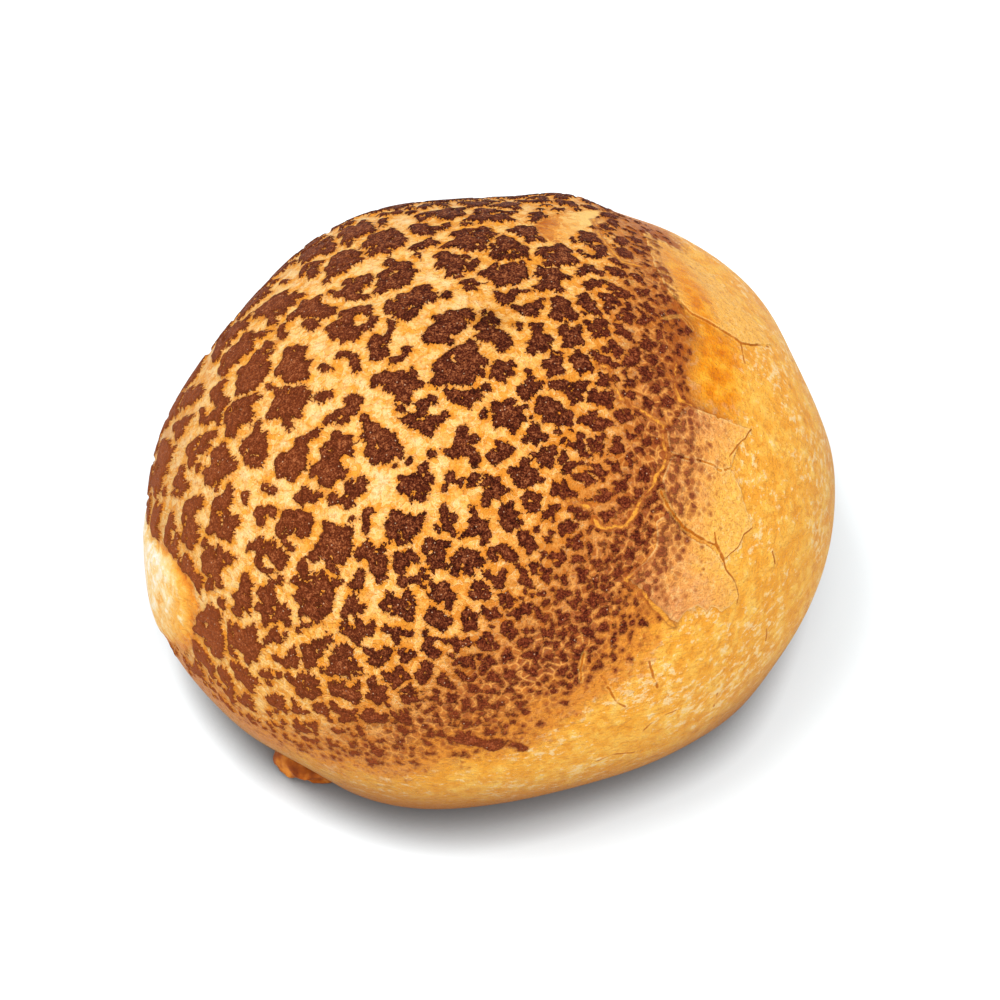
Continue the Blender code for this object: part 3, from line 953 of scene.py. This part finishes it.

# Plates are paler under a film and low down, where the paste was thinner, and on the far left, where
# grazing light is painted on them.
film_fade = add_node(skin, "Math", {0: film_share, 1: 0.45}, operation="MULTIPLY")
plate_tint = add_node(
    skin, "Mix", {0: film_fade, 6: plate_tint, 7: linear("#b8663a")}, out=2, data_type="RGBA"
)
low_down = add_node(
    skin, "MapRange", {"Value": height_mm, "From Min": 48, "From Max": 24, "To Max": 0.4}
)
far_left_painted_light = add_node(
    skin, "MapRange", {"Value": right_mm, "From Min": -12, "From Max": -48, "To Max": 0.36}
)
thin_paste_and_painted_light = add_node(skin, "Math", {0: low_down, 1: far_left_painted_light}, operation="ADD")
plate_tint = add_node(
    skin, "Mix", {0: thin_paste_and_painted_light, 6: plate_tint, 7: linear("#ab5220")}, out=2, data_type="RGBA"
)

# Hairline cracks in the plates, and pale dots painted on as glints.
hairline = add_node(skin, "TexNoise", {"Vector": crumpled, "Scale": 1 / 1.6, "Detail": 1})
hairline = add_node(skin, "Math", {0: hairline, 1: 0.5}, operation="SUBTRACT")
hairline = add_node(skin, "Math", {0: hairline}, operation="ABSOLUTE")
hairline = add_node(
    skin, "MapRange", {"Value": hairline, "From Min": 0.012, "From Max": 0.0, "To Max": 0.4}
)
plate_tint = add_node(
    skin, "Mix", {0: hairline, 6: plate_tint, 7: linear("#b2602c")}, out=2, data_type="RGBA"
)
# Tiny pale dots on the plates: painted glints.
painted_glint = add_node(skin, "TexVoronoi", {"Vector": mm, "Scale": 1 / 1.1}, out="Distance")
painted_glint = add_node(
    skin, "MapRange", {"Value": painted_glint, "From Min": 0.12, "From Max": 0.07, "To Max": 0.7}
)
plate_tint = add_node(
    skin, "Mix", {0: painted_glint, 6: plate_tint, 7: linear("#d9b08c")}, out=2, data_type="RGBA"
)
colour = add_node(skin, "Mix", {0: on_plate, 6: colour, 7: plate_tint}, out=2, data_type="RGBA")

# The rope of dough and the cracks over everything else, each with its sides before its middle. The
# rope's brown sides are a painted shadow beside the bead; the cracks' pale lips are partly a painted
# highlight and their dark middles partly painted shade in the groove.
for name, start, end, most, code in (
    ("rope", 0.8, 0.4, 0.6, "#9c4c1c"),
    ("rope", 0.36, 0.20, 0.9, "#f0a23a"),
    ("fissure", 0.55, 0.25, 0.35, "#fdbe5c"),
    ("fissure", 0.24, 0.12, 0.9, "#b8600e"),
):
    share = add_node(
        skin, "MapRange", {"Value": field[name], "From Min": start, "From Max": end, "To Max": most}
    )
    colour = add_node(skin, "Mix", {0: share, 6: colour, 7: linear(code)}, out=2, data_type="RGBA")

# The left flank is dulled toward brown as painted light and shade of the grazing light there, and the
# whole crust is toned down, the torn side the least.
flank_painted_light = add_node(
    skin,
    "MapRange",
    {"Value": right_mm, "From Min": -38, "From Max": -56, "To Max": 0.22},
    interpolation_type="SMOOTHSTEP",
)
whole = add_node(skin, "Math", {0: 1.0, 1: torn_cover}, operation="SUBTRACT")
flank_painted_light = add_node(skin, "Math", {0: flank_painted_light, 1: whole}, operation="MULTIPLY")
colour = add_node(
    skin, "Mix", {0: flank_painted_light, 6: colour, 7: linear("#a8561f")}, out=2, data_type="RGBA"
)
paleness = add_node(
    skin,
    "MapRange",
    {"Value": field["torn"], "From Min": 0, "From Max": 3, "To Min": 0.72, "To Max": 0.77},
)
colour = add_node(skin, "VectorMath", {0: colour, "Scale": paleness}, operation="SCALE")
skin.node_tree.links.new(colour, skin_shader.inputs["Base Color"])
skin_shader.inputs["IOR"].default_value = 1.45
skin_shader.inputs["Specular IOR Level"].default_value = 0.04
gloss = add_node(skin, "MapRange", {"Value": on_plate, "To Min": 0.38, "To Max": 0.65})
skin.node_tree.links.new(gloss, skin_shader.inputs["Roughness"])

# Bump, in millimetres: frayed plates, strands between them, blisters and fine grain.
height = add_node(skin, "Math", {0: proud, 1: 0.32}, operation="MULTIPLY")
height = add_node(skin, "Math", {0: strand, 1: 0.07, 2: height}, operation="MULTIPLY_ADD")
height = add_node(skin, "Math", {0: grit, 1: 0.40, 2: height}, operation="MULTIPLY_ADD")
height = add_node(skin, "Math", {0: tear, 1: 0.30, 2: height}, operation="MULTIPLY_ADD")
height = add_node(skin, "Math", {0: blister, 1: 0.55, 2: height}, operation="MULTIPLY_ADD")
height = add_node(skin, "Math", {0: mottle, 1: 0.80, 2: height}, operation="MULTIPLY_ADD")
bump = add_node(skin, "Bump", {"Height": height, "Strength": 1.0, "Distance": 0.001})
skin.node_tree.links.new(bump, skin_shader.inputs["Normal"])
crust.data.materials.append(skin)
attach(crust, "root")
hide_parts("roll")

# ---- The dough tongue ---------------------------------------------------------------------------
# A lip of dough that ran out under the crust at the front left foot and browned on the tray. It is
# one with the roll, a low lumpy dome whose flat foot lies on the board.

TONGUE_BEARING = math.radians(-131)
TONGUE_SIZE = (0.0179, 0.0160, 0.0098)  # outwards, along the foot and high
TONGUE_REACH = 0.0422
TONGUE_SINK = 0.33  # its middle above the board, as a share of its height
LUMP_SHARE, LUMPS_ACROSS = 0.16, 5
GRAIN_SHARE, GRAINS_ACROSS = 0.03, 19

bpy.ops.object.select_all(action="DESELECT")
bpy.ops.mesh.primitive_ico_sphere_add(subdivisions=5, radius=0.5)
tongue = bpy.context.object
tongue.name = tongue.data.name = "dough_tongue"
for vertex in tongue.data.vertices:
    lumps = LUMP_SHARE * noise.noise(vertex.co * LUMPS_ACROSS)
    grains = GRAIN_SHARE * noise.noise(vertex.co * GRAINS_ACROSS)
    vertex.co *= 1 + lumps + grains
tongue.data.transform(Matrix.Diagonal((*TONGUE_SIZE, 1)))
tongue.data.transform(
    Matrix.Translation(place)
    @ Matrix.Rotation(TONGUE_BEARING, 4, "Z")
    @ Matrix.Translation((TONGUE_REACH, 0, TONGUE_SIZE[2] * TONGUE_SINK))
)
press_flat()
bpy.ops.object.shade_smooth_by_angle(angle=math.radians(60))

# Dough baked against a hot tray: dark brown, mottled, with a dull shine.
lip = bpy.data.materials.new("tray_browned_dough")
lip.use_nodes = True
lip_shader = lip.node_tree.nodes["Principled BSDF"]
lip_mm = add_node(
    lip, "VectorMath", {0: add_node(lip, "TexCoord", out="Object"), "Scale": 1000}, operation="SCALE"
)
lip_mottle = add_node(lip, "TexNoise", {"Vector": lip_mm, "Scale": 1 / 2.5, "Detail": 5})
lip_tint = add_node(
    lip,
    "ValToRGB",
    {"Fac": lip_mottle},
    stops=((0.35, "#6e2e06"), (0.5, "#93480c"), (0.68, "#c07426")),
)
lip.node_tree.links.new(lip_tint, lip_shader.inputs["Base Color"])
lip_shader.inputs["Roughness"].default_value = 0.5
lip_shader.inputs["Specular IOR Level"].default_value = 0.1
lip_bump = add_node(lip, "Bump", {"Height": lip_mottle, "Strength": 0.6, "Distance": 0.0006})
lip.node_tree.links.new(lip_bump, lip_shader.inputs["Normal"])
tongue.data.materials.append(lip)
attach(tongue, "root")

# ---- Table, light and camera --------------------------------------------------------------------
# A plain white table in a bright soft studio: an even glow all round, the key light high on the
# left and a weaker one in front. The camera looks down on the roll from the front.

bpy.ops.object.select_all(action="DESELECT")
bpy.ops.mesh.primitive_plane_add(size=6)
table = bpy.context.object
table.name = "table"

# White paper: matt, and greyer close under the roll, where little light gets in.
paper = bpy.data.materials.new("white_paper")
paper.use_nodes = True
nearness = add_node(paper, "AmbientOcclusion", {"Distance": 0.008}, out="AO", samples=8)
nearness = add_node(paper, "MapRange", {"Value": nearness, "From Min": 0.35, "From Max": 0.95})
paper_tint = add_node(
    paper, "Mix", {0: nearness, 6: linear("#7b7b7b"), 7: linear("#d1d6d8")}, out=2, data_type="RGBA"
)
paper_shader = paper.node_tree.nodes["Principled BSDF"]
paper.node_tree.links.new(paper_tint, paper_shader.inputs["Base Color"])
paper_shader.inputs["Roughness"].default_value = 0.9
paper_shader.inputs["Specular IOR Level"].default_value = 0.0
table.data.materials.append(paper)

studio = bpy.data.worlds.new("studio")
studio.use_nodes = True
glow = studio.node_tree.nodes["Background"]
glow.inputs["Color"].default_value = linear("#ffffff")
glow.inputs["Strength"].default_value = 1.12
bpy.context.scene.world = studio
bpy.context.scene.view_settings.view_transform = "Standard"


def aim(thing, target):
    """Turns a lamp or the camera towards a point."""
    thing.rotation_euler = (Vector(target) - thing.location).to_track_quat("-Z", "Y").to_euler()


def add_softbox(name, location, size, power):
    """A square softbox aimed at the roll."""
    light = bpy.data.lights.new(name, "AREA")
    light.size = size
    light.energy = power
    lamp = bpy.data.objects.new(name, light)
    bpy.context.scene.collection.objects.link(lamp)
    lamp.location = location
    aim(lamp, (0, 0, 0.03))


add_softbox("key_softbox", location=(-0.40, -0.08, 1.10), size=0.45, power=8.2)
add_softbox("front_fill", location=(0.15, -0.62, 1.00), size=0.6, power=9.5)

LOOK_DOWN = math.radians(52)
CAMERA_DISTANCE = 0.46
back = Vector((0, -math.cos(LOOK_DOWN), math.sin(LOOK_DOWN)))
upward = Vector((0, math.sin(LOOK_DOWN), math.cos(LOOK_DOWN)))
view_middle = Vector((0.0015, 0, 0.025)) + upward * 0.0003
lens = bpy.data.cameras.new("camera")
lens.lens = 100
lens.sensor_width = 36
lens.clip_start = 0.01
camera = bpy.data.objects.new("camera", lens)
bpy.context.scene.collection.objects.link(camera)
camera.location = view_middle + back * CAMERA_DISTANCE
aim(camera, view_middle)
bpy.context.scene.camera = camera
